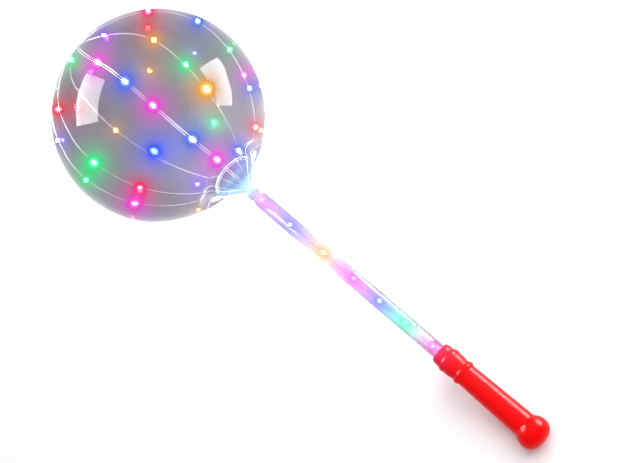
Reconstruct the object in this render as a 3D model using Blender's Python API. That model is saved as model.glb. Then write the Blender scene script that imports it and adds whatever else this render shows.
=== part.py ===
"""Light-up balloon on a stick, lying on its side.

A clear film balloon sits in a small clear cup with three open petals. The cup caps a clear
tube, the tube plugs into a red moulded handle, and a string of small lights runs up the tube
and over the balloon. The stick rests on the balloon and on the ball end of the handle.

Everything is first laid out along the stick: the local X axis runs down the stick, from the
middle of the balloon towards the handle, and local +Z is the upper side. One empty then
turns the whole stick, with the balloon towards +X, and tilts it so that both ends touch z = 0.
"""

import math

import bmesh
import bpy
from mathutils import Matrix, Vector

# Balloon
BALLOON_RADIUS = 0.1525
BALLOON_LEAN = 0.0045       # the balloon leans to local -Y off the line of the stick
BALLOON_FLAT = 0.0013       # depth of the flat where it rests
FILM_STEP = 8.6             # between the points of the film's outline, degrees
SHOULDER_ANGLE = 25.0       # where the round film turns into the dimple over the cup, degrees
SHOULDER = BALLOON_RADIUS * math.cos(math.radians(SHOULDER_ANGLE))       # along the stick
SHOULDER_OUT = BALLOON_RADIUS * math.sin(math.radians(SHOULDER_ANGLE))   # out from it
NECK_RADIUS = 0.0060
NECK_TAIL = 0.0055          # length of the gathered neck inside the tube

# Tube
TUBE_RADIUS = 0.0110
TUBE_WALL = 0.0015
TUBE_SHOWING = 0.3383       # between the cup's collar and the handle
TUBE_SEAT = 0.030           # length of tube inside the handle
FIT_GAP = 0.0003
TUBE_BORE = TUBE_RADIUS - TUBE_WALL

# Cup
COLLAR_RISE = 0.0358        # from the balloon's shoulder to the top of the collar
COLLAR_LIP = 0.0065         # from there to the tube's end inside it
COLLAR_LENGTH = 0.0190
COLLAR_WALL = 0.0018
PETALS = 3
PETAL_REACH = 0.0457        # of a petal's tip, out from the stick
PETAL_HALF_WIDTH = 0.0305
PETAL_BASE_HALF_WIDTH = 0.0035
PETAL_BAR_WIDTH = 0.0050
PETAL_BAR_THICKNESS = 0.0026
COLLAR_TOP = SHOULDER + COLLAR_RISE
COLLAR_END = COLLAR_TOP + COLLAR_LENGTH
COLLAR_RADIUS = TUBE_RADIUS + COLLAR_WALL
TUBE_TOP = COLLAR_TOP + COLLAR_LIP
NECK_END = TUBE_TOP + NECK_TAIL
# Along the stick and out from it:
PETAL_BASE = (SHOULDER + 1.07 * COLLAR_RISE, COLLAR_RADIUS - 0.6 * COLLAR_WALL)
PETAL_CORNER = (SHOULDER + 0.344 * COLLAR_RISE, 0.525 * PETAL_REACH)
PETAL_TIP = (SHOULDER + 0.078 * COLLAR_RISE, PETAL_REACH)

# Handle
HANDLE_START = COLLAR_END + TUBE_SHOWING
NOSE_WALL = 0.0035
GRIP_STEP = 0.0017          # from the nose's radius to the grip's
GRIP_SWELL = 0.0022         # more towards the ball
BALL_CENTRE = 0.1708        # from the mouth of the handle
BALL_RADIUS = 0.02415
BALL_END = 0.0191           # from the ball's centre to its flattened end
BALL_FLAT = 0.0008
NOSE_RADIUS = TUBE_RADIUS + NOSE_WALL
GRIP_RADIUS = NOSE_RADIUS + GRIP_STEP

# String of lights
WIRE_HALF = 0.0008
WIRE_LIFT = 0.0010          # clear of the film, so that straight lengths don't cut into it
CUP_WIRE_LIFT = 0.0005      # the same where the strands dip into the cup
BEAD_HALF = 0.0022
BEAD_LENGTH = 0.0080
STRANDS = 12
CROSSING_TILT = 27.0       # the strands meet this far above the balloon's far pole, degrees
HUB_TURN = -3.0             # of the first side of the knot where they meet, degrees
GATHER = 0.0040             # from the end of the balloon's neck to where they gather below it
FIRST_TUBE_LIGHT = 0.0055   # from the collar's end
TUBE_LIGHTS = 7
TUBE_LIGHT_PITCH = 0.0538

# Each strand over the balloon: its angle round the stick, its first light and the step
# between lights, the last two as angles from the cup
STRAND_LAYOUT = (
    (2.5, 30.0, 22.5),
    (31.0, 46.0, 19.0),
    (65.0, 32.5, 20.3),
    (103.0, 44.0, 22.0),
    (135.0, 33.0, 25.0),
    (163.0, 43.0, 26.0),
    (197.0, 43.0, 26.0),
    (222.0, 35.0, 25.0),
    (250.0, 46.0, 24.0),
    (300.0, 30.0, 28.0),
    (316.0, 31.0, 28.0),
    (340.0, 31.0, 28.0),
)


def clear_scene():
    for obj in list(bpy.data.objects):
        bpy.data.objects.remove(obj, do_unlink=True)


def material(name, colour, roughness, transmission=0.0, ior=1.45):
    mat = bpy.data.materials.new(name)
    mat.use_nodes = True
    shader = mat.node_tree.nodes["Principled BSDF"]
    shader.inputs["Base Color"].default_value = (*colour, 1.0)
    shader.inputs["Roughness"].default_value = roughness
    shader.inputs["Metallic"].default_value = 0.0
    shader.inputs["Transmission Weight"].default_value = transmission
    shader.inputs["IOR"].default_value = ior
    mat.diffuse_color = (*colour, 1.0)
    return mat


def add_object(name, bm, mat, parent):
    bmesh.ops.recalc_face_normals(bm, faces=bm.faces)
    if bm.calc_volume(signed=True) < 0.0:
        bmesh.ops.reverse_faces(bm, faces=bm.faces)
    mesh = bpy.data.meshes.new(name)
    bm.to_mesh(mesh)
    bm.free()
    mesh.shade_smooth()
    mesh.set_sharp_from_angle(angle=math.radians(40))
    mesh.materials.append(mat)
    obj = bpy.data.objects.new(name, mesh)
    bpy.context.collection.objects.link(obj)
    obj.parent = parent
    return obj


def turned(profile, steps):
    """Spin a profile of (along the stick, out from it) points round the X axis."""
    bm = bmesh.new()
    verts = [bm.verts.new((along, 0.0, out)) for along, out in profile]
    edges = [bm.edges.new(pair) for pair in zip(verts, verts[1:])]
    if profile[0][1] > 0.0:
        edges.append(bm.edges.new((verts[-1], verts[0])))
    bmesh.ops.spin(bm, geom=verts + edges, axis=(1, 0, 0), cent=(0, 0, 0),
                   steps=steps, angle=math.tau)
    bmesh.ops.remove_doubles(bm, verts=bm.verts, dist=1e-6)
    return bm


def stick_tilt():
    """Angle of the stick when the balloon and the ball of the handle both rest on a plane."""
    high = BALLOON_RADIUS - BALLOON_FLAT
    low = BALL_RADIUS - BALL_FLAT
    return math.asin((high - low) / (HANDLE_START + BALL_CENTRE))


def cut_resting_flat(bm):
    """Cut off whatever would reach below the plane that the stick lies on."""
    tilt = stick_tilt()
    down = Vector((math.sin(tilt), 0.0, -math.cos(tilt)))
    point = down * (BALLOON_RADIUS - BALLOON_FLAT)
    geom = bm.verts[:] + bm.edges[:] + bm.faces[:]
    cut = bmesh.ops.bisect_plane(bm, geom=geom, plane_co=point, plane_no=down,
                                 clear_outer=True)
    rim = [item for item in cut["geom_cut"] if isinstance(item, bmesh.types.BMEdge)]
    bmesh.ops.contextual_create(bm, geom=rim)


def smooth_step(value):
    value = min(max(value, 0.0), 1.0)
    return value * value * (3.0 - 2.0 * value)


def lean(along):
    """Sideways shift of the balloon: none in the cup, the whole lean past the cup."""
    start = SHOULDER + 0.6 * COLLAR_RISE
    return -BALLOON_LEAN * smooth_step((start - along) / (0.6 * BALLOON_RADIUS))


def dimple_profile():
    """The film from the round shoulder, over the petals' tips, down the cup and into it."""
    rim = 0.952 * PETAL_REACH
    points = []
    # In from the shoulder: share of the collar's rise, share of the way out to the shoulder
    for rise, share in ((-0.034, 0.742), (-0.073, 0.455), (-0.090, 0.215)):
        points.append((SHOULDER + COLLAR_RISE * rise, rim + (SHOULDER_OUT - rim) * share))
    # Over the petals and down between them: share of the rise, share of the rim's radius
    for rise, share in ((-0.062, 1.0), (0.022, 0.908), (0.162, 0.828), (0.343, 0.708),
                        (0.692, 0.386), (0.821, 0.2575), (0.902, 0.184), (1.014, 0.147)):
        points.append((SHOULDER + COLLAR_RISE * rise, rim * share))
    points.append((TUBE_TOP, NECK_RADIUS))
    return points


def balloon_profile(step):
    """Film outline from the far pole to the neck, with a point every `step` degrees."""
    count = round((180.0 - SHOULDER_ANGLE) / step)
    points = []
    for i in range(count + 1):
        angle = math.radians(180.0 - (180.0 - SHOULDER_ANGLE) * i / count)
        points.append((BALLOON_RADIUS * math.cos(angle), BALLOON_RADIUS * math.sin(angle)))
    points[0] = (-BALLOON_RADIUS, 0.0)
    return points + dimple_profile()


def make_balloon(parent):
    profile = balloon_profile(FILM_STEP)
    profile += [(NECK_END, NECK_RADIUS), (NECK_END, 0.0)]
    bm = turned(profile, 36)
    for vert in bm.verts:
        vert.co.y += lean(vert.co.x)
    cut_resting_flat(bm)
    film = material("clear_film", (0.86, 0.86, 0.92), 0.05, transmission=1.0, ior=1.05)
    return add_object("balloon", bm, film, parent)


def petal_centreline():
    """Open loop of one petal: legs fanning out from the collar, and a rounded rim."""
    base, corner, tip = PETAL_BASE, PETAL_CORNER, PETAL_TIP
    points = []
    for i in range(4):
        part = i / 4
        side = PETAL_BASE_HALF_WIDTH + (PETAL_HALF_WIDTH - PETAL_BASE_HALF_WIDTH) * part
        points.append((base[0] + (corner[0] - base[0]) * part, side,
                       base[1] + (corner[1] - base[1]) * part))
    rim_steps = 12
    for i in range(rim_steps + 1):
        angle = math.pi * i / rim_steps
        rise = math.sin(angle)
        points.append((corner[0] + (tip[0] - corner[0]) * rise,
                       PETAL_HALF_WIDTH * math.cos(angle),
                       corner[1] + (tip[1] - corner[1]) * rise))
    points += [(x, -y, z) for x, y, z in reversed(points[:4])]
    return [Vector(point) for point in points]


def petal_side(point):
    """Direction through the petal's thickness, away from the balloon, at one point."""
    lower = Vector((PETAL_CORNER[0] - PETAL_BASE[0], 0.0, PETAL_CORNER[1] - PETAL_BASE[1]))
    upper = Vector((PETAL_TIP[0] - PETAL_CORNER[0], 0.0, PETAL_TIP[1] - PETAL_CORNER[1]))
    part = smooth_step((PETAL_BASE[0] - point.x) / (PETAL_BASE[0] - PETAL_TIP[0]))
    slope = lower.normalized().lerp(upper.normalized(), part)
    return slope.cross(Vector((0.0, -1.0, 0.0))).normalized()


def make_petal(turn):
    bm = bmesh.new()
    centre = petal_centreline()
    rings = []
    for i, point in enumerate(centre):
        along = (centre[(i + 1) % len(centre)] - centre[i - 1]).normalized()
        out = petal_side(point)
        across = along.cross(out).normalized()
        out = across.cross(along)
        ring = []
        for a, b in ((-0.5, -0.5), (0.5, -0.5), (0.5, 0.5), (-0.5, 0.5)):
            corner = point + across * PETAL_BAR_WIDTH * a + out * PETAL_BAR_THICKNESS * b
            ring.append(bm.verts.new(corner))
        rings.append([bm.edges.new((ring[k], ring[(k + 1) % 4])) for k in range(4)])
    for i, ring in enumerate(rings):
        bmesh.ops.bridge_loops(bm, edges=rings[i - 1] + ring)
    bmesh.ops.rotate(bm, verts=bm.verts, cent=(0, 0, 0),
                     matrix=Matrix.Rotation(turn, 3, "X"))
    bmesh.ops.recalc_face_normals(bm, faces=bm.faces)
    return bm


def make_cup(parent):
    socket = TUBE_RADIUS + FIT_GAP
    seat = TUBE_TOP - FIT_GAP
    profile = [
        (COLLAR_TOP, TUBE_BORE - 0.0001),
        (seat, TUBE_BORE - 0.0001),
        (seat, socket),
        (COLLAR_END, socket),
        (COLLAR_END, COLLAR_RADIUS - 0.0006),
        (COLLAR_END - 0.0010, COLLAR_RADIUS),
        (COLLAR_TOP + 0.0012, COLLAR_RADIUS),
        (COLLAR_TOP, COLLAR_RADIUS - 0.0010),
    ]
    clear = material("clear_moulding", (0.90, 0.92, 0.95), 0.12, transmission=0.9, ior=1.49)
    cup = add_object("balloon_cup", turned(profile, 28), clear, parent)
    for i in range(PETALS):
        petal = add_object(f"petal_{i}", make_petal(math.tau * i / PETALS), clear, parent)
        petal.hide_render = True
        petal.display_type = "WIRE"
        union = cup.modifiers.new(f"petal_{i}", "BOOLEAN")
        union.operation = "UNION"
        union.object = petal
    return cup


def make_tube(parent):
    end = HANDLE_START + TUBE_SEAT
    profile = [(TUBE_TOP, TUBE_BORE), (end, TUBE_BORE), (end, TUBE_RADIUS),
               (TUBE_TOP, TUBE_RADIUS)]
    clear = material("clear_tube", (0.92, 0.92, 0.95), 0.08, transmission=0.9, ior=1.49)
    return add_object("stick_tube", turned(profile, 28), clear, parent)


def bump(along, centre, half_width, height):
    """A rounded bead round the handle."""
    if abs(along - centre) >= half_width:
        return 0.0
    return height * math.cos(0.5 * math.pi * (along - centre) / half_width) ** 2


def handle_radius(along):
    """Outer radius of the handle at a distance from its mouth."""
    if along > BALL_CENTRE:
        reach = min((along - BALL_CENTRE) / BALL_END, 1.0)
        return BALL_RADIUS * (1.0 - reach ** 2.3) ** (1.0 / 2.3)
    if along < 0.009:
        body = NOSE_RADIUS + GRIP_STEP * math.sin(0.5 * math.pi * along / 0.009)
    else:
        body = GRIP_RADIUS + GRIP_SWELL * max(along - 0.051, 0.0) / 0.104
    body += bump(along, 0.0174, 0.0070, 0.0023)
    body += bump(along, 0.0275, 0.0115, 0.0014)
    body += bump(along, 0.0440, 0.0060, 0.0021)
    ball = BALL_RADIUS ** 2 - (along - BALL_CENTRE) ** 2
    return max(body, math.sqrt(max(ball, 0.0)))


def make_handle(parent):
    socket = TUBE_RADIUS + FIT_GAP
    depth = TUBE_SEAT + FIT_GAP
    outline = [(depth, 0.0), (depth, socket), (0.0, socket), (0.0, NOSE_RADIUS - 0.4 * NOSE_WALL)]
    stations = [0.0008, 0.0050, 0.0105, 0.0135, 0.0155, 0.0174, 0.0195, 0.0215, 0.0250,
                0.0300, 0.0340, 0.0385, 0.0410, 0.0425, 0.0440, 0.0455, 0.0475, 0.0500]
    neck = BALL_CENTRE - math.sqrt(BALL_RADIUS ** 2 - (GRIP_RADIUS + GRIP_SWELL) ** 2)
    stations += [0.1020, neck]
    stations += [BALL_CENTRE - BALL_RADIUS * f for f in (0.50, 0.33, 0.16, 0.0)]
    stations += [BALL_CENTRE + BALL_END * f for f in (0.30, 0.52, 0.70, 0.84, 0.94, 0.985)]
    outline += [(along, handle_radius(along)) for along in stations]
    outline += [(BALL_CENTRE + BALL_END, 0.0040), (BALL_CENTRE + BALL_END, 0.0)]
    bm = turned([(HANDLE_START + along, out) for along, out in outline], 26)
    cut_resting_flat(bm)
    red = material("red_moulding", (0.85, 0.004, 0.006), 0.16, ior=1.52)
    return add_object("handle", bm, red, parent)


def film_path(step):
    """Film points with their outward directions, from the crossing down to the cup."""
    points = balloon_profile(step)
    path = []
    for i in range(1, len(points) - 1):
        ahead = Vector((points[i + 1][0] - points[i - 1][0], points[i + 1][1] - points[i - 1][1]))
        out = Vector((-ahead.y, ahead.x)).normalized()
        path.append((Vector(points[i]), out))
    return path


def strand_angles(first, pitch):
    """Stations along one strand as angles from the cup, each with True inside a light."""
    half = math.degrees(0.5 * BEAD_LENGTH / BALLOON_RADIUS)
    lights = []
    angle = first
    while angle < 157.0:
        lights.append(angle)
        angle += pitch
    stations = []
    for light in lights:
        stations += [(light + half, False), (light + 0.55 * half, True),
                     (light - 0.55 * half, True), (light - half, False)]
    marks = [174.0] + sorted((a for a, inside in stations if not inside), reverse=True)
    marks.append(SHOULDER_ANGLE + 3.0)
    for upper, lower in zip(marks[0::2], marks[1::2]):
        spans = max(1, math.ceil((upper - lower) / 10.0))
        stations += [(upper + (lower - upper) * i / spans, False) for i in range(1, spans)]
    stations += [(marks[0], False), (marks[-1], False)]
    return sorted(set(stations), reverse=True)


def around(along, out, turn):
    """A point at a distance out from the stick, turned round it from the upper side."""
    return Vector((along, out * math.sin(turn), out * math.cos(turn)))


def raise_crossing(vector, angle):
    """Lean a direction up, more and more towards the far pole where the strands meet."""
    lift = math.radians(CROSSING_TILT) * smooth_step((angle - 80.0) / 100.0)
    return Matrix.Rotation(lift, 3, "Y") @ vector


def hub_turn(k):
    return math.radians(HUB_TURN + 360.0 * k / STRANDS)


def hub_radius():
    return WIRE_HALF / math.sin(math.pi / STRANDS)


def strand_rings(k):
    """Cross-sections of one strand, from the crossing over the balloon to the collar."""
    turn, first, pitch = STRAND_LAYOUT[k]
    turn = math.radians(turn)
    rings = []
    for angle, inside in strand_angles(first, pitch):
        blend = smooth_step((angle - 110.0) / 70.0)
        here = turn + (hub_turn(k) - turn) * blend
        theta = math.radians(angle)
        out = raise_crossing(around(math.cos(theta), math.sin(theta), here), angle)
        side = raise_crossing(around(0.0, 1.0, here + 0.5 * math.pi), angle)
        centre = Vector((0.0, lean(BALLOON_RADIUS * math.cos(theta)), 0.0))
        half = BEAD_HALF if inside else WIRE_HALF
        low = centre + out * (BALLOON_RADIUS + WIRE_LIFT)
        high = centre + out * (BALLOON_RADIUS + WIRE_LIFT + 2.0 * half)
        rings.append((high - side * half, high + side * half,
                      low + side * half, low - side * half))
    for point, out in film_path(FILM_STEP):
        if point.x < SHOULDER - 0.1 * COLLAR_RISE or point.y > 1.02 * SHOULDER_OUT:
            continue
        side = around(0.0, 1.0, turn + 0.5 * math.pi)
        normal = around(out.x, out.y, turn)
        centre = around(point.x, point.y, turn) + Vector((0.0, lean(point.x), 0.0))
        low = centre + normal * CUP_WIRE_LIFT
        high = centre + normal * (CUP_WIRE_LIFT + 2.0 * WIRE_HALF)
        rings.append((high - side * WIRE_HALF, high + side * WIRE_HALF,
                      low + side * WIRE_HALF, low - side * WIRE_HALF))
    return rings


def make_string(parent):
    bm = bmesh.new()
    radius = hub_radius()
    half_step = math.pi / STRANDS
    pole = math.radians(180.0)

    # Where the strands cross: a twelve-sided knot, one strand leaving each side
    top = []
    bottom = []
    for k in range(STRANDS):
        edge = hub_turn(k) - half_step
        spoke = around(0.0, radius, edge)
        for level, ring in ((WIRE_LIFT + 2.0 * WIRE_HALF, top), (WIRE_LIFT, bottom)):
            point = Vector((math.cos(pole) * (BALLOON_RADIUS + level), 0.0, 0.0)) + spoke
            point = raise_crossing(point, 180.0) + Vector((0.0, lean(-BALLOON_RADIUS), 0.0))
            ring.append(bm.verts.new(point))
    knot = [bm.faces.new(top), bm.faces.new(bottom)]
    bmesh.ops.recalc_face_normals(bm, faces=knot)
    bmesh.ops.poke(bm, faces=knot, offset=0.0003)

    # Where they come together again, under the neck of the balloon
    gather = NECK_END + GATHER
    upper = []
    lower = []
    for k in range(STRANDS):
        edge = hub_turn(k) - half_step
        upper.append(bm.verts.new(around(gather, radius, edge)))
        lower.append(bm.verts.new(around(gather + 2.0 * WIRE_HALF, radius, edge)))
    bm.faces.new(upper)
    end_face = bm.faces.new(lower)

    middle = 0.5 * (NECK_RADIUS + TUBE_BORE)
    for k in range(STRANDS):
        nxt = (k + 1) % STRANDS
        turn = math.radians(STRAND_LAYOUT[k][0])
        last = math.radians(HUB_TURN + 360.0 * k / STRANDS)
        loop = [top[k], top[nxt], bottom[nxt], bottom[k]]
        rings = strand_rings(k)
        for along, out, part in ((NECK_END - 0.9 * NECK_TAIL, middle, 0.4),
                                 (NECK_END + 0.1 * NECK_TAIL, middle, 0.8),
                                 (NECK_END + 0.9 * GATHER, 0.7 * middle, 1.0)):
            here = turn + (last - turn) * part
            side = around(0.0, WIRE_HALF, here + 0.5 * math.pi)
            slope = 0.0 if part < 1.0 else 1.0
            up = around(-WIRE_HALF * slope, WIRE_HALF * (1.0 - 0.5 * slope), here)
            centre = around(along, out, here)
            rings.append((centre + up - side, centre + up + side,
                          centre - up + side, centre - up - side))
        for ring in rings:
            fresh = [bm.verts.new(point) for point in ring]
            for a in range(4):
                b = (a + 1) % 4
                bm.faces.new((loop[a], loop[b], fresh[b], fresh[a]))
            loop = fresh
        goal = [upper[k], upper[nxt], lower[nxt], lower[k]]
        for a in range(4):
            b = (a + 1) % 4
            bm.faces.new((loop[a], loop[b], goal[b], goal[a]))

    # Down the tube: the string thickens at every light
    face = end_face
    stations = []
    for i in range(TUBE_LIGHTS):
        light = COLLAR_END + FIRST_TUBE_LIGHT + TUBE_LIGHT_PITCH * i
        half = 0.5 * BEAD_LENGTH
        stations += [(light - half, 1.0), (light - 0.55 * half, BEAD_HALF / WIRE_HALF),
                     (light + 0.55 * half, BEAD_HALF / WIRE_HALF), (light + half, 1.0)]
    stations.append((HANDLE_START + TUBE_SEAT - 0.004, 1.0))
    for station, size in stations:
        made = bmesh.ops.extrude_discrete_faces(bm, faces=[face])
        face = made["faces"][0]
        for vert in face.verts:
            spoke = Vector((0.0, vert.co.y, vert.co.z)).normalized()
            vert.co = Vector((station, 0.0, 0.0)) + spoke * WIRE_HALF * 1.2 * size
    resin = material("light_resin", (0.95, 0.93, 0.97), 0.2)
    return add_object("light_string", bm, resin, parent)


def centre_on_origin(stick):
    """Slide the stick so that the middle of its outline is over the origin."""
    bpy.context.view_layer.update()
    depsgraph = bpy.context.evaluated_depsgraph_get()
    points = []
    for obj in stick.children:
        if obj.hide_render:
            continue
        shape = obj.evaluated_get(depsgraph)
        points += [shape.matrix_world @ vert.co for vert in shape.data.vertices]
    xs = [point.x for point in points]
    ys = [point.y for point in points]
    stick.location.x -= 0.5 * (min(xs) + max(xs))
    stick.location.y -= 0.5 * (min(ys) + max(ys))


def main():
    clear_scene()
    stick = bpy.data.objects.new("stick", None)
    bpy.context.collection.objects.link(stick)
    stick.rotation_euler = (0.0, stick_tilt(), math.pi)
    stick.location = (0.0, 0.0, BALLOON_RADIUS - BALLOON_FLAT)
    make_balloon(stick)
    make_cup(stick)
    make_tube(stick)
    make_handle(stick)
    make_string(stick)
    centre_on_origin(stick)


main()
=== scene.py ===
"""Light-up balloon on a stick, lying on a plain pale floor with its lights on."""

import math

import bmesh
import bpy
from mathutils import Matrix, Vector


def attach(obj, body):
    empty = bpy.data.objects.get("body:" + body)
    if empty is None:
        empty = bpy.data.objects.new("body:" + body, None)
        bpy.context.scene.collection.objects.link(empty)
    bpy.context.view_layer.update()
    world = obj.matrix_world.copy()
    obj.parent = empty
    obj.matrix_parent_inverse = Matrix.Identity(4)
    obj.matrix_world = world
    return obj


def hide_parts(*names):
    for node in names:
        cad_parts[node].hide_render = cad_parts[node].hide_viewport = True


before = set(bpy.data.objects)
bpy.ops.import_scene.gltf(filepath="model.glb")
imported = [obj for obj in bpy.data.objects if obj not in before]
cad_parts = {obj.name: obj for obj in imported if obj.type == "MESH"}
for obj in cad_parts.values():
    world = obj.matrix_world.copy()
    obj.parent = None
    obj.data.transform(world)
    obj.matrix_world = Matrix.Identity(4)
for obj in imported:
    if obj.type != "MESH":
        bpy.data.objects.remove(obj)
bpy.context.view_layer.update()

# The balloon: one bubble of clear stretched film, blown round. Its mouth is drawn down through
# the cup and gathered there, so the film dips over the petals and folds into pleats.

# Everything is laid out along the stick, X from the middle of the balloon to the handle and Z on
# the upper side, and this puts it where it lies, on the balloon and on the ball of the handle.
stick_tilt = 0.183115
balloon_middle = (0.276065, -0.003417, 0.1512)
stick_place = (Matrix.Translation(balloon_middle)
               @ Matrix.Rotation(math.pi, 4, "Z") @ Matrix.Rotation(stick_tilt, 4, "Y"))

balloon_radius = 0.1525
balloon_lean = 0.0045
rest_depth = balloon_radius - 0.0013    # of the floor below the balloon's middle
film_thickness = 0.0003
film_step = 2.5                         # degrees between the points of the round
film_pleats = 26
pleat_depth = 0.0016
shoulder_angle = 25.0                   # from the cup, where the round turns into the dip
shoulder_to_neck = [
    (0.1370, 0.0590), (0.1356, 0.0530), (0.1350, 0.0480), (0.1360, 0.0435), (0.1390, 0.0395),
    (0.1440, 0.0360), (0.1505, 0.0308), (0.1630, 0.0168), (0.1676, 0.0112), (0.1705, 0.0080),
    (0.1745, 0.0064), (0.1810, 0.0060), (0.1860, 0.0058),
]


def smooth_step(value):
    """A share from 0 to 1 that starts and stops softly."""
    value = min(max(value, 0.0), 1.0)
    return value * value * (3.0 - 2.0 * value)


def lean(along):
    """The balloon leans a little to one side of the stick, and the cup doesn't."""
    return -balloon_lean * smooth_step((0.1597 - along) / 0.0915)


def around(along, out, turn):
    """A point out from the stick, turned round it from the upper side."""
    return Vector((along, out * math.sin(turn), out * math.cos(turn)))


def rounded(points, per):
    """A smooth line through points of a profile, with `per` steps between each two."""
    line = []
    for i in range(len(points) - 1):
        before = Vector(points[max(i - 1, 0)])
        here = Vector(points[i])
        there = Vector(points[i + 1])
        after = Vector(points[min(i + 2, len(points) - 1)])
        for k in range(per):
            t = k / per
            line.append(tuple(0.5 * (2.0 * here + (there - before) * t
                                     + (2.0 * before - 5.0 * here + 4.0 * there - after) * t * t
                                     + (3.0 * here - before - 3.0 * there + after) * t ** 3)))
    return line + [tuple(points[-1])]


def film_profile():
    """The film from the far pole over the round and down the dip, as (along, out)."""
    round_angle = 180.0 - shoulder_angle
    count = round(round_angle / film_step)
    round_part = []
    for i in range(count):
        angle = math.radians(180.0 - round_angle * i / count)
        round_part.append((balloon_radius * math.cos(angle), balloon_radius * math.sin(angle)))
    round_part[0] = (-balloon_radius, 0.0)
    shoulder = math.radians(shoulder_angle)
    start = (balloon_radius * math.cos(shoulder), balloon_radius * math.sin(shoulder))
    return round_part + rounded([start] + shoulder_to_neck, 4)


def turned(profile, steps):
    """A profile of (along, out) points spun round the stick, as one closed skin."""
    bm = bmesh.new()
    verts = [bm.verts.new((along, 0.0, out)) for along, out in profile]
    edges = [bm.edges.new(pair) for pair in zip(verts, verts[1:])]
    if profile[0][1] > 0.0:
        edges.append(bm.edges.new((verts[-1], verts[0])))
    bmesh.ops.spin(bm, geom=verts + edges, axis=(1, 0, 0), cent=(0, 0, 0), steps=steps,
                   angle=math.tau, use_merge=True)
    bmesh.ops.remove_doubles(bm, verts=bm.verts, dist=1e-6)
    bmesh.ops.recalc_face_normals(bm, faces=bm.faces)
    return bm


def rest_flat(bm):
    """Cuts the underside off flat where it rests on the floor."""
    down = Vector((math.sin(stick_tilt), 0.0, -math.cos(stick_tilt)))
    cut = bmesh.ops.bisect_plane(bm, geom=bm.verts[:] + bm.edges[:] + bm.faces[:],
                                 plane_co=down * rest_depth, plane_no=down, clear_outer=True)
    rim = [item for item in cut["geom_cut"] if isinstance(item, bmesh.types.BMEdge)]
    bmesh.ops.contextual_create(bm, geom=rim)
    bmesh.ops.recalc_face_normals(bm, faces=bm.faces)


def put_in_place(name, bm, mats, sharp=50.0):
    """The finished mesh, laid down with the stick and riding with it."""
    bmesh.ops.transform(bm, matrix=stick_place, verts=bm.verts)
    mesh = bpy.data.meshes.new(name)
    bm.to_mesh(mesh)
    bm.free()
    mesh.shade_smooth()
    mesh.set_sharp_from_angle(angle=math.radians(sharp))
    for mat in mats:
        mesh.materials.append(mat)
    obj = bpy.data.objects.new(name, mesh)
    bpy.context.collection.objects.link(obj)
    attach(obj, "root")
    return obj


def linear(code):
    """An sRGB hex colour turned to the linear values that a shader takes."""
    shares = [int(code[i:i + 2], 16) / 255.0 for i in (0, 2, 4)]
    return tuple(s / 12.92 if s <= 0.04045 else ((s + 0.055) / 1.055) ** 2.4
                 for s in shares) + (1.0,)


def new_finish(name, settings):
    """A material with its shader's own sockets set, and its node tree."""
    mat = bpy.data.materials.new(name)
    mat.use_nodes = True
    shader = mat.node_tree.nodes["Principled BSDF"]
    for socket, value in settings.items():
        shader.inputs[socket].default_value = value
    return mat, mat.node_tree, shader


def add_node(tree, kind, settings, links):
    """Adds a node, sets its sockets or settings by name and links sources into it."""
    node = tree.nodes.new(kind)
    for name, value in settings.items():
        if name in node.inputs:
            node.inputs[name].default_value = value
        else:
            setattr(node, name, value)
    for name, source in links.items():
        tree.links.new(source, node.inputs[name])
    return node


# Stretched clear film: sharp reflections, a smoky grey where two walls lie behind each other, and
# slow waves of about 60 mm left by the stretching. Round each light its colour is painted on the
# film as painted light: a painted tint in its base colour and a painted glow in its emission, from
# two attributes that are filled in with the lights. One has an alpha that is how much of the
# painted tint shows, and the other holds the painted glow.
film_finish, tree, shader = new_finish("stretched_clear_film", {
    "Roughness": 0.03, "IOR": 1.22, "Transmission Weight": 1.0, "Emission Strength": 1.0})
painted_light_attribute = add_node(tree, "ShaderNodeAttribute", {"attribute_name": "painted_light_on_film"}, {})
film_and_painted_tint = add_node(tree, "ShaderNodeMix", {"data_type": "RGBA"}, {})
film_and_painted_tint.inputs[6].default_value = linear("B5B4BA")
tree.links.new(painted_light_attribute.outputs["Alpha"], film_and_painted_tint.inputs[0])
tree.links.new(painted_light_attribute.outputs["Color"], film_and_painted_tint.inputs[7])
tree.links.new(film_and_painted_tint.outputs[2], shader.inputs["Base Color"])
painted_glow = add_node(tree, "ShaderNodeAttribute", {"attribute_name": "painted_film_glow"}, {})
tree.links.new(painted_glow.outputs["Color"], shader.inputs["Emission Color"])
place = add_node(tree, "ShaderNodeTexCoord", {}, {})
waves = add_node(tree, "ShaderNodeTexNoise", {"Scale": 16.0, "Detail": 1.0},
                 {"Vector": place.outputs["Object"]})
bump = add_node(tree, "ShaderNodeBump", {"Strength": 0.06, "Distance": 0.002},
                {"Height": waves.outputs["Fac"]})
tree.links.new(bump.outputs["Normal"], shader.inputs["Normal"])

gathered_end = [(0.1874, 0.0045), (0.1880, 0.0022), (0.1882, 0.0)]
bm = turned(film_profile() + gathered_end, film_pleats * 8)
for vert in bm.verts:
    out = math.hypot(vert.co.y, vert.co.z)
    if vert.co.x > 0.130 and out > 0.001:
        turn = math.atan2(vert.co.y, vert.co.z)
        depth = pleat_depth * smooth_step((0.046 - out) / 0.030) * min(out / 0.010, 1.0)
        wanted = out - depth * (0.5 - 0.5 * math.cos(film_pleats * turn))
        vert.co.y *= wanted / out
        vert.co.z *= wanted / out
    vert.co.y += lean(vert.co.x)
rest_flat(bm)
balloon = put_in_place("balloon_film", bm, [film_finish])
wall = balloon.modifiers.new("wall", "SOLIDIFY")
wall.thickness = film_thickness
wall.offset = -1.0
balloon.visible_shadow = False
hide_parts("balloon")


# The cup: one clear moulding. A short collar caps the tube, and three open loops fan out from it
# like petals to hold the balloon.
collar_radius = 0.0128
petal_count = 3
petal_section = 14
petal_width = 0.0050
petal_thickness = 0.0026
petal_half_width = 0.0305
petal_squareness = 0.72     # of the bar's section, where 1 is an ellipse


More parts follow.
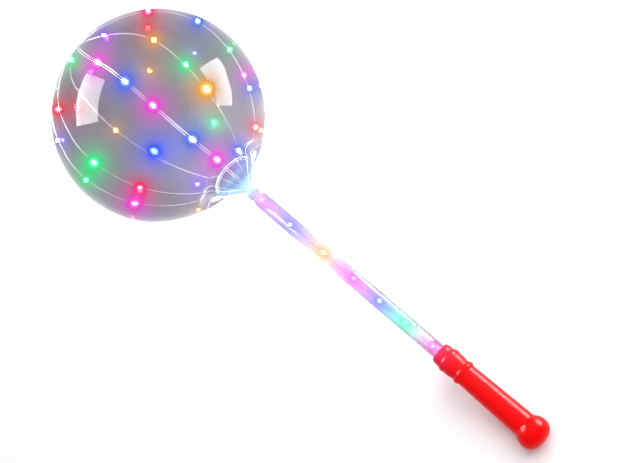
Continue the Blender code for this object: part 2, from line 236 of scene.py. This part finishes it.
def petal_line():
    """Middle line of one petal: two legs from the collar and a rounded rim between them."""
    leg = [(0.1765, 0.0035, 0.0117), (0.1700, 0.0103, 0.0148), (0.1635, 0.0170, 0.0178),
           (0.1570, 0.0238, 0.0209)]
    rim = []
    for i in range(13):
        angle = math.pi * i / 12
        rise = math.sin(angle)
        rim.append((0.1505 - 0.0095 * rise, petal_half_width * math.cos(angle),
                    0.0240 + 0.0217 * rise))
    loop = leg + rim + [(x, -y, z) for x, y, z in reversed(leg)]
    return [Vector(point) for point in rounded(loop, 4)]


def petal(turn):
    """One open loop, swept as a soft-edged bar along its middle line."""
    part = bmesh.new()
    line = petal_line()
    rings = []
    for i, point in enumerate(line):
        ahead = (line[(i + 1) % len(line)] - line[i - 1]).normalized()
        rise = smooth_step((0.1765 - point.x) / 0.0355)
        slope = Vector((-0.0260, 0.0, 0.0123)).normalized().lerp(
            Vector((-0.0095, 0.0, 0.0217)).normalized(), rise)
        out = slope.cross(Vector((0.0, -1.0, 0.0))).normalized()
        across = ahead.cross(out).normalized()
        out = across.cross(ahead)
        ring = []
        for k in range(petal_section):
            angle = math.tau * k / petal_section
            c, s = math.cos(angle), math.sin(angle)
            wide = 0.5 * petal_width * math.copysign(abs(c) ** petal_squareness, c)
            painted_deep_colour = 0.5 * petal_thickness * math.copysign(abs(s) ** petal_squareness, s)
            ring.append(part.verts.new(point + across * wide + out * painted_deep_colour))
        rings.append([part.edges.new((ring[k], ring[(k + 1) % petal_section]))
                      for k in range(petal_section)])
    for i, ring in enumerate(rings):
        bmesh.ops.bridge_loops(part, edges=rings[i - 1] + ring)
    bmesh.ops.rotate(part, verts=part.verts, cent=(0, 0, 0), matrix=Matrix.Rotation(turn, 3, "X"))
    bmesh.ops.recalc_face_normals(part, faces=part.faces)
    return part


def joined(parts):
    """Several closed meshes made into one skin with nothing inside it."""
    helpers = []
    for i, part in enumerate(parts):
        mesh = bpy.data.meshes.new("part_%d" % i)
        part.to_mesh(mesh)
        part.free()
        helper = bpy.data.objects.new("part_%d" % i, mesh)
        bpy.context.collection.objects.link(helper)
        helpers.append(helper)
        if i:
            union = helpers[0].modifiers.new("join_%d" % i, "BOOLEAN")
            union.operation = "UNION"
            union.object = helper
    depsgraph = bpy.context.evaluated_depsgraph_get()
    whole = bmesh.new()
    whole.from_mesh(helpers[0].evaluated_get(depsgraph).to_mesh())
    for helper in helpers:
        bpy.data.objects.remove(helper, do_unlink=True)
    return whole


# Clear polystyrene, polished in the mould. Its edges are painted glowing a cold white round a clear
# middle: a painted glow for the lights beside it that run along the bars. The melt's flow leaves
# waves of about 4 mm.
cup_finish, tree, shader = new_finish("clear_polystyrene_moulding", {
    "Base Color": linear("E2F3FB"), "Roughness": 0.06, "IOR": 1.50, "Transmission Weight": 0.94,
    "Emission Strength": 1.25})
edge = add_node(tree, "ShaderNodeLayerWeight", {"Blend": 0.50}, {})
painted_edge_glow = add_node(tree, "ShaderNodeValToRGB", {}, {"Fac": edge.outputs["Facing"]})
painted_edge_glow.color_ramp.elements[0].color = (0.03, 0.05, 0.06, 1.0)
painted_edge_glow.color_ramp.elements[0].position = 0.20
painted_edge_glow.color_ramp.elements[1].color = linear("D2F4FF")
tree.links.new(painted_edge_glow.outputs["Color"], shader.inputs["Emission Color"])
place = add_node(tree, "ShaderNodeTexCoord", {}, {})
flow = add_node(tree, "ShaderNodeTexNoise", {"Scale": 260.0, "Detail": 1.0},
                {"Vector": place.outputs["Object"]})
bump = add_node(tree, "ShaderNodeBump", {"Strength": 0.12, "Distance": 0.0004},
                {"Height": flow.outputs["Fac"]})
tree.links.new(bump.outputs["Normal"], shader.inputs["Normal"])

collar = turned([
    (0.1740, 0.0096), (0.1743, 0.0094), (0.1802, 0.0094), (0.1802, 0.0113), (0.1930, 0.0113),
    (0.1930, 0.0122), (0.1927, 0.0126), (0.1921, collar_radius), (0.1752, collar_radius),
    (0.1745, 0.0126), (0.1741, 0.0121), (0.1740, 0.0116)], 96)
petals = [petal(math.tau * i / petal_count) for i in range(petal_count)]
cup = put_in_place("cup_moulding", joined([collar] + petals), [cup_finish], sharp=35.0)
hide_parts("balloon_cup")


# The stick: a clear drawn tube, seated in the collar above and in the handle's socket below.
# The string of lights runs down inside it, and the colour of each light is painted on the wall a
# little way along, as painted light.
tube_top = 0.1805
tube_foot = 0.5613
tube_radius = 0.0110
tube_bore = 0.0095
tube_light_places = (0.2005, 0.2545, 0.3165, 0.3720, 0.4195, 0.4665, 0.5160)


def painted_light_along_stick(tree, codes):
    """Painted light colours along the stick, one at each light in the tube, and the place on the
    stick.
    """
    place = add_node(tree, "ShaderNodeTexCoord", {}, {})
    on_stick = add_node(tree, "ShaderNodeMapping", {
        "vector_type": "TEXTURE", "Location": balloon_middle,
        "Rotation": (0.0, stick_tilt, math.pi)}, {"Vector": place.outputs["Object"]})
    split = add_node(tree, "ShaderNodeSeparateXYZ", {}, {"Vector": on_stick.outputs["Vector"]})
    share = add_node(tree, "ShaderNodeMapRange", {"From Max": tube_foot},
                     {"Value": split.outputs["X"]})
    ramp = add_node(tree, "ShaderNodeValToRGB", {}, {"Fac": share.outputs["Result"]})
    stops = ramp.color_ramp.elements
    for light, code in zip(tube_light_places, codes):
        stops.new(light / tube_foot).color = linear(code)
    stops.remove(stops[0])
    stops.remove(stops[-1])
    return ramp.outputs["Color"], on_stick.outputs["Vector"]


# Clear acrylic, drawn: the pale colour of the light inside each stretch is painted on it, as a
# painted tint and a faint painted glow, deeper at the edges where the eye looks along the wall. The
# die's fine lines are drawn 2 mm apart and 60 mm long, coarser than they are, so that they show.
tube_finish, tree, shader = new_finish("clear_drawn_tube", {
    "Roughness": 0.07, "IOR": 1.40, "Transmission Weight": 0.92, "Emission Strength": 0.05})
painted_tint, on_stick = painted_light_along_stick(tree, ("F5BCF8", "C3BFF7", "F5E6CE", "F8BCFA", "C9CCFC", "B4F3DE",
                                    "F8C6EE"))
tree.links.new(painted_tint, shader.inputs["Base Color"])
tree.links.new(painted_tint, shader.inputs["Emission Color"])
stretched = add_node(tree, "ShaderNodeMapping", {"Scale": (0.04, 1.0, 1.0)}, {"Vector": on_stick})
drawn = add_node(tree, "ShaderNodeTexNoise", {"Scale": 420.0, "Detail": 2.0},
                 {"Vector": stretched.outputs["Vector"]})
bump = add_node(tree, "ShaderNodeBump", {"Strength": 0.25, "Distance": 0.0004},
                {"Height": drawn.outputs["Fac"]})
tree.links.new(bump.outputs["Normal"], shader.inputs["Normal"])

tube_edge = 0.0003          # taken off the corners at its ends
tube = put_in_place("clear_tube", turned([
    (tube_top, tube_bore + tube_edge), (tube_top + tube_edge, tube_bore),
    (tube_foot - tube_edge, tube_bore), (tube_foot, tube_bore + tube_edge),
    (tube_foot, tube_radius - tube_edge), (tube_foot - tube_edge, tube_radius),
    (tube_top + tube_edge, tube_radius), (tube_top, tube_radius - tube_edge)], 96),
    [tube_finish])
tube.visible_shadow = False
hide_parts("stick_tube")


# The handle: one red ABS moulding with a socketed nose, two beads, a low band, a grip that swells
# towards the end and a ball for a foot.
mouth = 0.5313
nose_radius = 0.0145
grip_radius = 0.0162
grip_swell = 0.0022
ball_centre = 0.1708
ball_radius = 0.02415
ball_end = 0.0191           # from the ball's centre to its flattened foot
ball_squareness = 2.3       # of the foot's curve, where 2 is round


def bump_height(along, centre, half_width, height):
    """A rounded bead round the handle."""
    if abs(along - centre) >= half_width:
        return 0.0
    return height * math.cos(0.5 * math.pi * (along - centre) / half_width) ** 2


def handle_radius(along):
    """Outer radius of the handle at a distance from its mouth."""
    if along > ball_centre:
        reach = min((along - ball_centre) / ball_end, 1.0)
        return ball_radius * (1.0 - reach ** ball_squareness) ** (1.0 / ball_squareness)
    if along < 0.009:
        body = nose_radius + 0.0017 * math.sin(0.5 * math.pi * along / 0.009)
    else:
        body = grip_radius + grip_swell * max(along - 0.051, 0.0) / 0.104
    body += bump_height(along, 0.0174, 0.0070, 0.0023)
    body += bump_height(along, 0.0275, 0.0115, 0.0014)
    body += bump_height(along, 0.0440, 0.0060, 0.0021)
    ball = ball_radius ** 2 - (along - ball_centre) ** 2
    return max(body, math.sqrt(max(ball, 0.0)))


# Its outline from the floor of the socket: round the mouth, over the beads in fine steps, along the
# grip in long ones, and round the ball.
outline = [(0.0303, 0.0), (0.0303, 0.0113), (0.0006, 0.0113), (0.0, 0.0116), (0.0, 0.0138),
           (0.0003, 0.0143)]
outline += [(0.0008 + 0.0009 * i, handle_radius(0.0008 + 0.0009 * i)) for i in range(56)]
outline += [(0.0520 + 0.0040 * i, handle_radius(0.0520 + 0.0040 * i)) for i in range(25)]
grip_end = ball_centre - math.sqrt(ball_radius ** 2 - 0.0184 ** 2)
outline += [(grip_end - 0.0012, handle_radius(grip_end - 0.0012)), (grip_end, 0.01845)]
ball_start = math.asin(0.0187 / ball_radius)
for i in range(1, 25):
    angle = ball_start + (0.5 * math.pi - ball_start) * i / 24
    outline.append((ball_centre - ball_radius * math.cos(angle), ball_radius * math.sin(angle)))
for i in range(1, 24):
    reach = math.sin(0.5 * math.pi * i / 24)
    outline.append((ball_centre + ball_end * reach,
                    ball_radius * (1.0 - reach ** ball_squareness) ** (1.0 / ball_squareness)))
outline.append((ball_centre + ball_end, 0.0))
bm = turned([(mouth + along, out) for along, out in outline], 128)
rest_flat(bm)

# Glossy red ABS straight from a polished mould: soft-edged highlights, and the faint unevenness,
# about 9 mm across, of a thick moulding that has shrunk.
red_finish, tree, shader = new_finish("glossy_red_abs", {
    "Base Color": linear("F40002"), "Roughness": 0.28, "IOR": 1.42, "Specular IOR Level": 0.10,
    "Coat Weight": 0.04, "Coat Roughness": 0.08})
place = add_node(tree, "ShaderNodeTexCoord", {}, {})
shrink = add_node(tree, "ShaderNodeTexNoise", {"Scale": 110.0, "Detail": 1.0},
                  {"Vector": place.outputs["Object"]})
bump = add_node(tree, "ShaderNodeBump", {"Strength": 0.08, "Distance": 0.0006},
                {"Height": shrink.outputs["Fac"]})
tree.links.new(bump.outputs["Normal"], shader.inputs["Normal"])
handle = put_in_place("handle_moulding", bm, [red_finish], sharp=60.0)
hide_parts("handle")


# The string: a pair of fine tinned wires. It climbs the tube, spreads out inside the collar into
# twelve runs that lie over the film, and the runs come together again above the far pole. The
# front run's pair is thicker and stands wider apart, and the pair inside the tube is twisted.
wire_radius = 0.00009
wire_gap = 0.00045
main_wire_radius = 0.00028
main_wire_gap = 0.0016
stick_wire_radius = 0.00055
stick_wire_offset = 0.0007
stick_wire_step = 0.0046
stick_wire_twist = 0.35     # radians at each step
wire_rest = 0.0005          # of a wire's middle above the film
dip_wire_rest = 0.0009      # the same where it bends down into the cup
knot_turn = -3.0
knot_lift = 27.0

# Each run: its angle round the stick, then its lights: the angle of each from the cup, its colour
# and how large its drop is against the common one.
runs = [
    (2.5, [(30.5, "magenta", 1.1), (50, "blue", 1.1), (77, "magenta", 1.1), (99, "blue", 1.1),
           (132.5, "magenta", 1.0)]),
    (31.0, [(24, "blue", 0.85), (64, "amber", 1.2), (80.5, "green", 0.9), (106.5, "amber", 0.75),
            (150.5, "violet", 0.7)]),
    (65.0, [(31.5, "red", 0.8), (53, "blue", 0.65), (60.5, "magenta", 0.6), (76, "green", 0.6),
            (100.5, "blue", 0.8), (131.5, "red", 0.75)]),
    (103.0, [(59.5, "blue", 0.7), (69.5, "magenta", 0.7), (88, "green", 0.8),
             (110.5, "blue", 1.0), (136, "magenta", 0.9)]),
    (135.0, [(46, "amber", 1.0), (107, "violet", 0.7), (131, "red", 1.1)]),
    (163.0, [(51.5, "blue", 1.0), (81, "green", 0.9), (119, "amber", 1.0),
             (146, "magenta", 0.9)]),
    (197.0, [(62.5, "violet", 1.0), (95, "blue", 1.7), (140, "magenta", 1.0)]),
    (222.0, [(42, "amber", 1.1), (84, "red", 0.8), (133, "red", 1.1), (160, "green", 0.8)]),
    (250.0, [(70, "magenta", 0.8), (103, "green", 0.7), (125, "violet", 0.8), (140, "red", 0.9),
             (151, "green", 0.8)]),
    (300.0, [(59, "magenta", 1.0), (88, "green", 0.7), (119.5, "violet", 0.6)]),
    (316.0, [(59, "red", 0.8), (86.5, "green", 1.1), (134.5, "red", 0.8)]),
    (340.0, [(84.5, "amber", 0.55), (166, "green", 0.9)]),
]
tube_lights = ["magenta", "blue", "amber", "magenta", "blue", "green", "magenta"]


def raised(vector, angle):
    """A direction leant up with the runs, which meet `knot_lift` degrees above the far pole."""
    lift = math.radians(knot_lift) * smooth_step((angle - 80.0) / 100.0)
    return Matrix.Rotation(lift, 3, "Y") @ vector


def run_point(k, angle, height):
    """Run k at an angle from the cup: its place over the film, and the ways out and across."""
    turn = math.radians(runs[k][0])
    knot = math.radians(knot_turn + 30.0 * k)
    here = turn + (knot - turn) * smooth_step((angle - 110.0) / 70.0)
    theta = math.radians(angle)
    out = raised(around(math.cos(theta), math.sin(theta), here), angle)
    side = raised(around(0.0, 1.0, here + 0.5 * math.pi), angle)
    centre = Vector((0.0, lean(balloon_radius * math.cos(theta)), 0.0))
    return centre + out * (balloon_radius + height), out, side


def run_route(k):
    """The whole run as (point, side), from the far pole down into the collar."""
    route = []
    for i in range(76):
        point, out, side = run_point(k, 178.2 - 2.0 * i, wire_rest)
        route.append((point, side))
    turn = math.radians(runs[k][0])
    knot = math.radians(knot_turn + 30.0 * k)
    dip = film_profile()
    for i in range(1, len(dip) - 1):
        along, radius = dip[i]
        if along < 0.1340 or radius > 0.0625 or along > 0.1800:
            continue
        ahead = Vector(dip[i + 1]) - Vector(dip[i - 1])
        normal = Vector((-ahead.y, ahead.x)).normalized()
        point = around(along + normal.x * dip_wire_rest, radius + normal.y * dip_wire_rest, turn)
        point.y += lean(along)
        route.append((point, around(0.0, 1.0, turn + 0.5 * math.pi)))
    collar_part = ((0.1815, 0.0075, 0.4), (0.1850, 0.0077, 0.7), (0.1880, 0.0070, 0.9),
                   (0.1900, 0.0045, 1.0), (0.1909, 0.0018, 1.0))
    for along, out, share in collar_part:
        here = turn + (knot - turn) * share
        route.append((around(along, out, here), around(0.0, 1.0, here + 0.5 * math.pi)))
    return route


def wire_mesh(lines):
    """Round wires drawn along lines of points, each with its own radius, with closed ends."""
    curve = bpy.data.curves.new("wire", "CURVE")
    curve.dimensions = "3D"
    curve.bevel_depth = 1.0
    curve.bevel_resolution = 1
    curve.use_fill_caps = True
    for line, radius in lines:
        spline = curve.splines.new("POLY")
        spline.points.add(len(line) - 1)
        for slot, point in zip(spline.points, line):
            slot.co = (*point, 1.0)
            slot.radius = radius
    helper = bpy.data.objects.new("wire", curve)
    bpy.context.collection.objects.link(helper)
    part = bmesh.new()
    part.from_mesh(helper.to_mesh())
    helper.to_mesh_clear()
    bpy.data.objects.remove(helper, do_unlink=True)
    bmesh.ops.recalc_face_normals(part, faces=part.faces)
    return part


lines = []
for k in range(len(runs)):
    route = run_route(k)
    gap, radius = (wire_gap, wire_radius) if k else (main_wire_gap, main_wire_radius)
    for half in (-1.0, 1.0):
        lines.append(([point + side * gap * half for point, side in route], radius))
stick_lines = []
for half in (-1.0, 1.0):
    line = []
    for i in range(80):
        twist = i * stick_wire_twist + 0.5 * math.pi * half
        line.append(around(0.1905 + stick_wire_step * i, stick_wire_offset, twist))
    stick_lines.append((line, stick_wire_radius))

# Tinned copper wire under clear lacquer: bright, thin and a little soft in its shine, duller every
# 3 mm or so where it was handled, and with a faint pale pink painted glow for the light of the
# drops that it feeds.
wire_finish, tree, shader = new_finish("tinned_copper_wire", {
    "Base Color": linear("F2EEF4"), "Metallic": 1.0, "Emission Color": linear("FFE8FA"),
    "Emission Strength": 0.25})
place = add_node(tree, "ShaderNodeTexCoord", {}, {})
kinks = add_node(tree, "ShaderNodeTexNoise", {"Scale": 300.0, "Detail": 1.0},
                 {"Vector": place.outputs["Object"]})
dullness = add_node(tree, "ShaderNodeMapRange", {"To Min": 0.35, "To Max": 0.60},
                    {"Value": kinks.outputs["Fac"]})
tree.links.new(dullness.outputs["Result"], shader.inputs["Roughness"])
wires = put_in_place("string_wires", wire_mesh(lines), [wire_finish], sharp=80.0)
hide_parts("light_string")

# Thick lacquer on the twisted pair, with painted light: the deep colour of each light beside it
# is painted on, as its colour and a painted glow.
lacquer_finish, tree, shader = new_finish("lacquered_twisted_pair", {
    "Roughness": 0.35, "IOR": 1.5, "Emission Strength": 0.45})
painted_deep_colour, on_stick = painted_light_along_stick(tree, ("D860D8", "6A5CE0", "D09858", "D850DC", "5C78E0", "38C090",
                                    "E868B0"))
tree.links.new(painted_deep_colour, shader.inputs["Base Color"])
tree.links.new(painted_deep_colour, shader.inputs["Emission Color"])
pair = put_in_place("stick_wires", wire_mesh(stick_lines), [lacquer_finish], sharp=80.0)


# The lights: a tiny chip between the two wires, sealed in a drop of clear resin about 7 mm long.
# Each colour is a piece of its own, so that it can be lit by itself. The painted light on the film
# round the lights, its painted tint and glow, is worked out here too, from where they sit.
light_colours = {
    "red": "FF3048", "amber": "FFB040", "green": "30FF90", "blue": "4878FF",
    "violet": "9078FF", "magenta": "FF48E0",
}
# Colours of the painted glow and tint on the film round each light.
painted_glow_colours = {
    "red": "FFA0B0", "amber": "FFD8A8", "green": "A0F0C0", "blue": "A8B0FF",
    "violet": "C8B0FF", "magenta": "F8A0F8",
}
drop_half_length = 0.0034
drop_half_width = 0.0019
drop_rest = 0.0018          # of a drop's middle above the film
chip_size = (0.0026, 0.0018, 0.0010)
tube_drop_size = 0.85


def light_seats():
    """Every light as (colour, size, middle, direction along the wires, direction outwards)."""
    seats = []
    for k, (turn, lights) in enumerate(runs):
        for angle, colour, size in lights:
            here, out, side = run_point(k, angle, drop_rest)
            ahead = (run_point(k, angle + 1.0, drop_rest)[0]
                     - run_point(k, angle - 1.0, drop_rest)[0]).normalized()
            seats.append((colour, size, here, ahead, out))
    for along, colour in zip(tube_light_places, tube_lights):
        seats.append((colour, tube_drop_size, Vector((along, 0.0, 0.0)), Vector((1.0, 0.0, 0.0)),
                      Vector((0.0, 0.0, 1.0))))
    return seats


def add_light(bm, size, middle, ahead, out):
    """One resin drop with its chip inside, set along the wires."""
    across = out.cross(ahead).normalized()
    frame_of_light = Matrix((
        (ahead.x, across.x, out.x, middle.x), (ahead.y, across.y, out.y, middle.y),
        (ahead.z, across.z, out.z, middle.z), (0.0, 0.0, 0.0, 1.0)))
    drop = bmesh.ops.create_uvsphere(bm, u_segments=14, v_segments=9, radius=1.0)["verts"]
    bmesh.ops.rotate(bm, verts=drop, matrix=Matrix.Rotation(0.5 * math.pi, 3, "Y"))
    bmesh.ops.scale(bm, verts=drop, vec=(size * drop_half_length, size * drop_half_width,
                                         size * drop_half_width))
    bmesh.ops.transform(bm, verts=drop, matrix=frame_of_light)
    chip = bmesh.ops.create_cube(bm, size=1.0)["verts"]
    bmesh.ops.scale(bm, verts=chip, vec=[size * side for side in chip_size])
    bmesh.ops.transform(bm, verts=chip, matrix=frame_of_light)
    for face in {face for vert in chip for face in vert.link_faces}:
        face.material_index = 1


for colour, code in light_colours.items():
    # Clear epoxy, cast in a drop and flooded by the chip inside it, so the whole drop glows. The
    # chip is a diode under pale phosphor, far brighter than the drop round it.
    resin, tree, shader = new_finish("epoxy_drop_" + colour, {
        "Base Color": linear("F4F2F8"), "Roughness": 0.12, "IOR": 1.5,
        "Transmission Weight": 0.75, "Emission Color": linear(code), "Emission Strength": 6.0})
    chip, tree, shader = new_finish("lit_chip_" + colour, {
        "Base Color": linear("FFF6E0"), "Roughness": 0.5, "Emission Color": linear(code),
        "Emission Strength": 40.0})
    bm = bmesh.new()
    for seat_colour, size, middle, ahead, out in light_seats():
        if seat_colour == colour:
            add_light(bm, size, middle, ahead, out)
    lights = put_in_place("lights_" + colour, bm, [resin, chip], sharp=60.0)

# Painted light on the film: round each light its colour is painted as tint and glow, strongest
# within about 8 mm and gone by 36 mm, and the pleats under the cup are painted with a pale blue
# glow for the lights that sit in the neck.
painted_glow_reach = 0.012
most_painted_tint = 0.7
painted_neck_tint = 0.85
neck_start = 0.134
neck_rise = 0.025
painted_neck_glow = Vector(linear("9CD4FF")[:3])
painted_light_spots = [(stick_place @ middle, size, Vector(linear(painted_glow_colours[colour])[:3]))
             for colour, size, middle, ahead, out in light_seats()]
back_to_stick = stick_place.inverted()
painted_light_on_film = balloon.data.color_attributes.new("painted_light_on_film", "FLOAT_COLOR", "POINT")
painted_film_glow = balloon.data.color_attributes.new("painted_film_glow", "FLOAT_COLOR", "POINT")
for vert, painted_tint, painted_glow in zip(balloon.data.vertices, painted_light_on_film.data, painted_film_glow.data):
    total = 0.0001
    painted_colour = Vector((0.0, 0.0, 0.0))
    for spot, size, shade in painted_light_spots:
        far = (vert.co - spot).length / (painted_glow_reach * size)
        if far < 3.0:
            share = size * math.exp(-far)
            total += share
            painted_colour += shade * share
    neck = smooth_step(((back_to_stick @ vert.co).x - neck_start) / neck_rise)
    painted_colour = (painted_colour / total).lerp(painted_neck_glow, neck)
    share = max(min(0.8 * total, most_painted_tint), painted_neck_tint * neck)
    painted_tint.color = (*painted_colour, share)
    painted_glow.color = (*(painted_colour * (0.05 * min(total, 1.0) + 0.20 * neck)), 1.0)


# The floor: one sheet of matt pale card with a fine tooth, drawn about 1 mm across so that it
# shows. It runs far past the view, so no edge shows.
floor_depth = 0.0004        # below the piece, so that the film's flat doesn't lie in it
floor_mesh = bpy.data.meshes.new("floor")
bm = bmesh.new()
bmesh.ops.create_grid(bm, x_segments=1, y_segments=1, size=12.0)
bm.to_mesh(floor_mesh)
bm.free()
floor = bpy.data.objects.new("floor", floor_mesh)
floor.location.z = -floor_depth
bpy.context.collection.objects.link(floor)
card, tree, shader = new_finish("matt_pale_card", {
    "Base Color": linear("F4F4F5"), "Roughness": 0.9, "Specular IOR Level": 0.2})
place = add_node(tree, "ShaderNodeTexCoord", {}, {})
grain = add_node(tree, "ShaderNodeTexNoise", {"Scale": 900.0, "Detail": 2.0},
                 {"Vector": place.outputs["Object"]})
bump = add_node(tree, "ShaderNodeBump", {"Strength": 0.05, "Distance": 0.0002},
                {"Height": grain.outputs["Fac"]})
tree.links.new(bump.outputs["Normal"], shader.inputs["Normal"])
floor_mesh.materials.append(card)


# The camera: a long lens, looking down on the stick from its upper side, rolled so that the
# handle points to the lower right.
camera_distance = 3.5
turn_of_stick = stick_place.to_3x3()
tip = math.radians(14.0)
roll = math.radians(40.5)
to_camera = turn_of_stick @ Vector((math.sin(tip), 0.0, math.cos(tip)))
down_stick = turn_of_stick @ Vector((math.cos(tip), 0.0, -math.sin(tip)))
across_stick = turn_of_stick @ Vector((0.0, 1.0, 0.0))
right = math.cos(roll) * down_stick + math.sin(roll) * across_stick
up = -math.sin(roll) * down_stick + math.cos(roll) * across_stick
aim = stick_place @ Vector((0.286, 0.015, 0.0))

lens = bpy.data.cameras.new("camera")
lens.sensor_width = 36.0
lens.lens = 142.86
lens.clip_end = 60.0
camera = bpy.data.objects.new("camera", lens)
bpy.context.collection.objects.link(camera)
camera.matrix_world = (Matrix.Translation(aim + to_camera * camera_distance)
                       @ Matrix((right, up, to_camera)).transposed().to_4x4())
bpy.context.scene.camera = camera


# The light: a pale room all round, one wide softbox overhead, and two tall ones at the sides that
# draw the window shapes on the film.
def softbox(name, where, towards, upright, size, strength, seen_in):
    """A rectangular softbox that the camera doesn't see: it lights the room or draws a gloss."""
    lamp = bpy.data.lights.new(name, "AREA")
    lamp.shape = "RECTANGLE"
    lamp.size, lamp.size_y = size
    lamp.energy = strength
    box = bpy.data.objects.new(name, lamp)
    bpy.context.collection.objects.link(box)
    back = (where - towards).normalized()
    side = upright.cross(back).normalized()
    box.matrix_world = (Matrix.Translation(where)
                        @ Matrix((side, back.cross(side), back)).transposed().to_4x4())
    box.visible_camera = False
    box.visible_transmission = False
    box.visible_diffuse = seen_in == "room"
    box.visible_glossy = seen_in == "gloss"


middle = Vector(balloon_middle)
left_spot = middle + balloon_radius * (-0.60 * right + 0.15 * up + 0.78 * to_camera)
right_spot = middle + balloon_radius * (0.58 * right + 0.30 * up + 0.75 * to_camera)
sideways = (0.7 * right + 0.7 * up) * 1.4
softbox("overhead", Vector((sideways.x, sideways.y, 2.4)), Vector((0.0, 0.0, 0.0)),
        Vector((0.0, 1.0, 0.0)), (3.2, 3.2), 100.0, "room")
softbox("left_window", left_spot + 1.2 * (-0.90 * right + 0.19 * up + 0.17 * to_camera),
        left_spot, up, (0.66, 0.86), 72.0, "gloss")
softbox("right_window", right_spot + 0.95 * (0.87 * right + 0.45 * up + 0.10 * to_camera),
        right_spot, up, (0.56, 0.70), 50.0, "gloss")

world = bpy.data.worlds.new("pale_room")
bpy.context.scene.world = world
world.use_nodes = True
room = world.node_tree.nodes["Background"]
room.inputs["Color"].default_value = linear("FBFBFD")
room.inputs["Strength"].default_value = 0.43

scene = bpy.context.scene
scene.view_settings.view_transform = "Standard"
scene.cycles.max_bounces = 24
scene.cycles.transmission_bounces = 24
scene.cycles.sample_clamp_indirect = 60.0
scene.cycles.use_denoising = True

# The lens's own bloom: each light spreads its colour over what lies round it, in close halos and
# wide faint ones, and its own bright middle stays on top. Each halo has a reach in pixels and a
# strength in stops.
halos = ((4.0, -3.2), (9.0, -3.0), (18.0, -1.1), (40.0, 0.3))
scene.use_nodes = True
tree = scene.node_tree
for node in list(tree.nodes):
    tree.nodes.remove(node)
picture = add_node(tree, "CompositorNodeRLayers", {}, {})
bright = add_node(tree, "CompositorNodeGlare", {
    "glare_type": "BLOOM", "Threshold": 1.4, "Strength": 1.0, "Size": 0.1},
    {"Image": picture.outputs["Image"]})
halo = None
for reach, stops in halos:
    blurred = add_node(tree, "CompositorNodeBlur", {
        "filter_type": "FAST_GAUSS", "Size": (reach, reach)},
        {"Image": bright.outputs["Highlights"]})
    lifted = add_node(tree, "CompositorNodeExposure", {"Exposure": stops},
                      {"Image": blurred.outputs["Image"]})
    if halo is None:
        halo = lifted.outputs["Image"]
    else:
        halo = add_node(tree, "CompositorNodeMixRGB", {"blend_type": "ADD"},
                        {1: halo, 2: lifted.outputs["Image"]}).outputs[0]

# How much of the picture a halo hides: all of it where it is strong, but nothing where the bare
# card behind is already as white as it can be.
halo_parts = add_node(tree, "CompositorNodeSeparateColor", {"mode": "HSV"}, {"Image": halo})
picture_parts = add_node(tree, "CompositorNodeSeparateColor", {},
                         {"Image": picture.outputs["Image"]})
lower = add_node(tree, "CompositorNodeMath", {"operation": "MINIMUM"},
                 {0: picture_parts.outputs[0], 1: picture_parts.outputs[1]})
lowest = add_node(tree, "CompositorNodeMath", {"operation": "MINIMUM"},
                  {0: lower.outputs[0], 1: picture_parts.outputs[2]})
room_left = add_node(tree, "CompositorNodeMath", {"operation": "SUBTRACT"},
                     {1: lowest.outputs[0]})
room_left.inputs[0].default_value = 1.0
not_white = add_node(tree, "CompositorNodeMath", {"operation": "MULTIPLY", "use_clamp": True},
                     {0: room_left.outputs[0]})
not_white.inputs[1].default_value = 6.0
strong = add_node(tree, "CompositorNodeMath", {"operation": "MULTIPLY", "use_clamp": True},
                  {0: halo_parts.outputs[2]})
strong.inputs[1].default_value = 1.3
cover = add_node(tree, "CompositorNodeMath", {"operation": "MULTIPLY"},
                 {0: strong.outputs[0], 1: not_white.outputs[0]})
dimmed = add_node(tree, "CompositorNodeMixRGB", {"blend_type": "MIX"},
                  {0: cover.outputs[0], 1: picture.outputs["Image"]})
dimmed.inputs[2].default_value = (0.0, 0.0, 0.0, 1.0)
spread = add_node(tree, "CompositorNodeMixRGB", {"blend_type": "ADD"},
                  {1: dimmed.outputs[0], 2: halo})
whole = add_node(tree, "CompositorNodeMixRGB", {"blend_type": "ADD"},
                 {1: spread.outputs[0], 2: bright.outputs["Highlights"]})
add_node(tree, "CompositorNodeComposite", {}, {"Image": whole.outputs[0]})
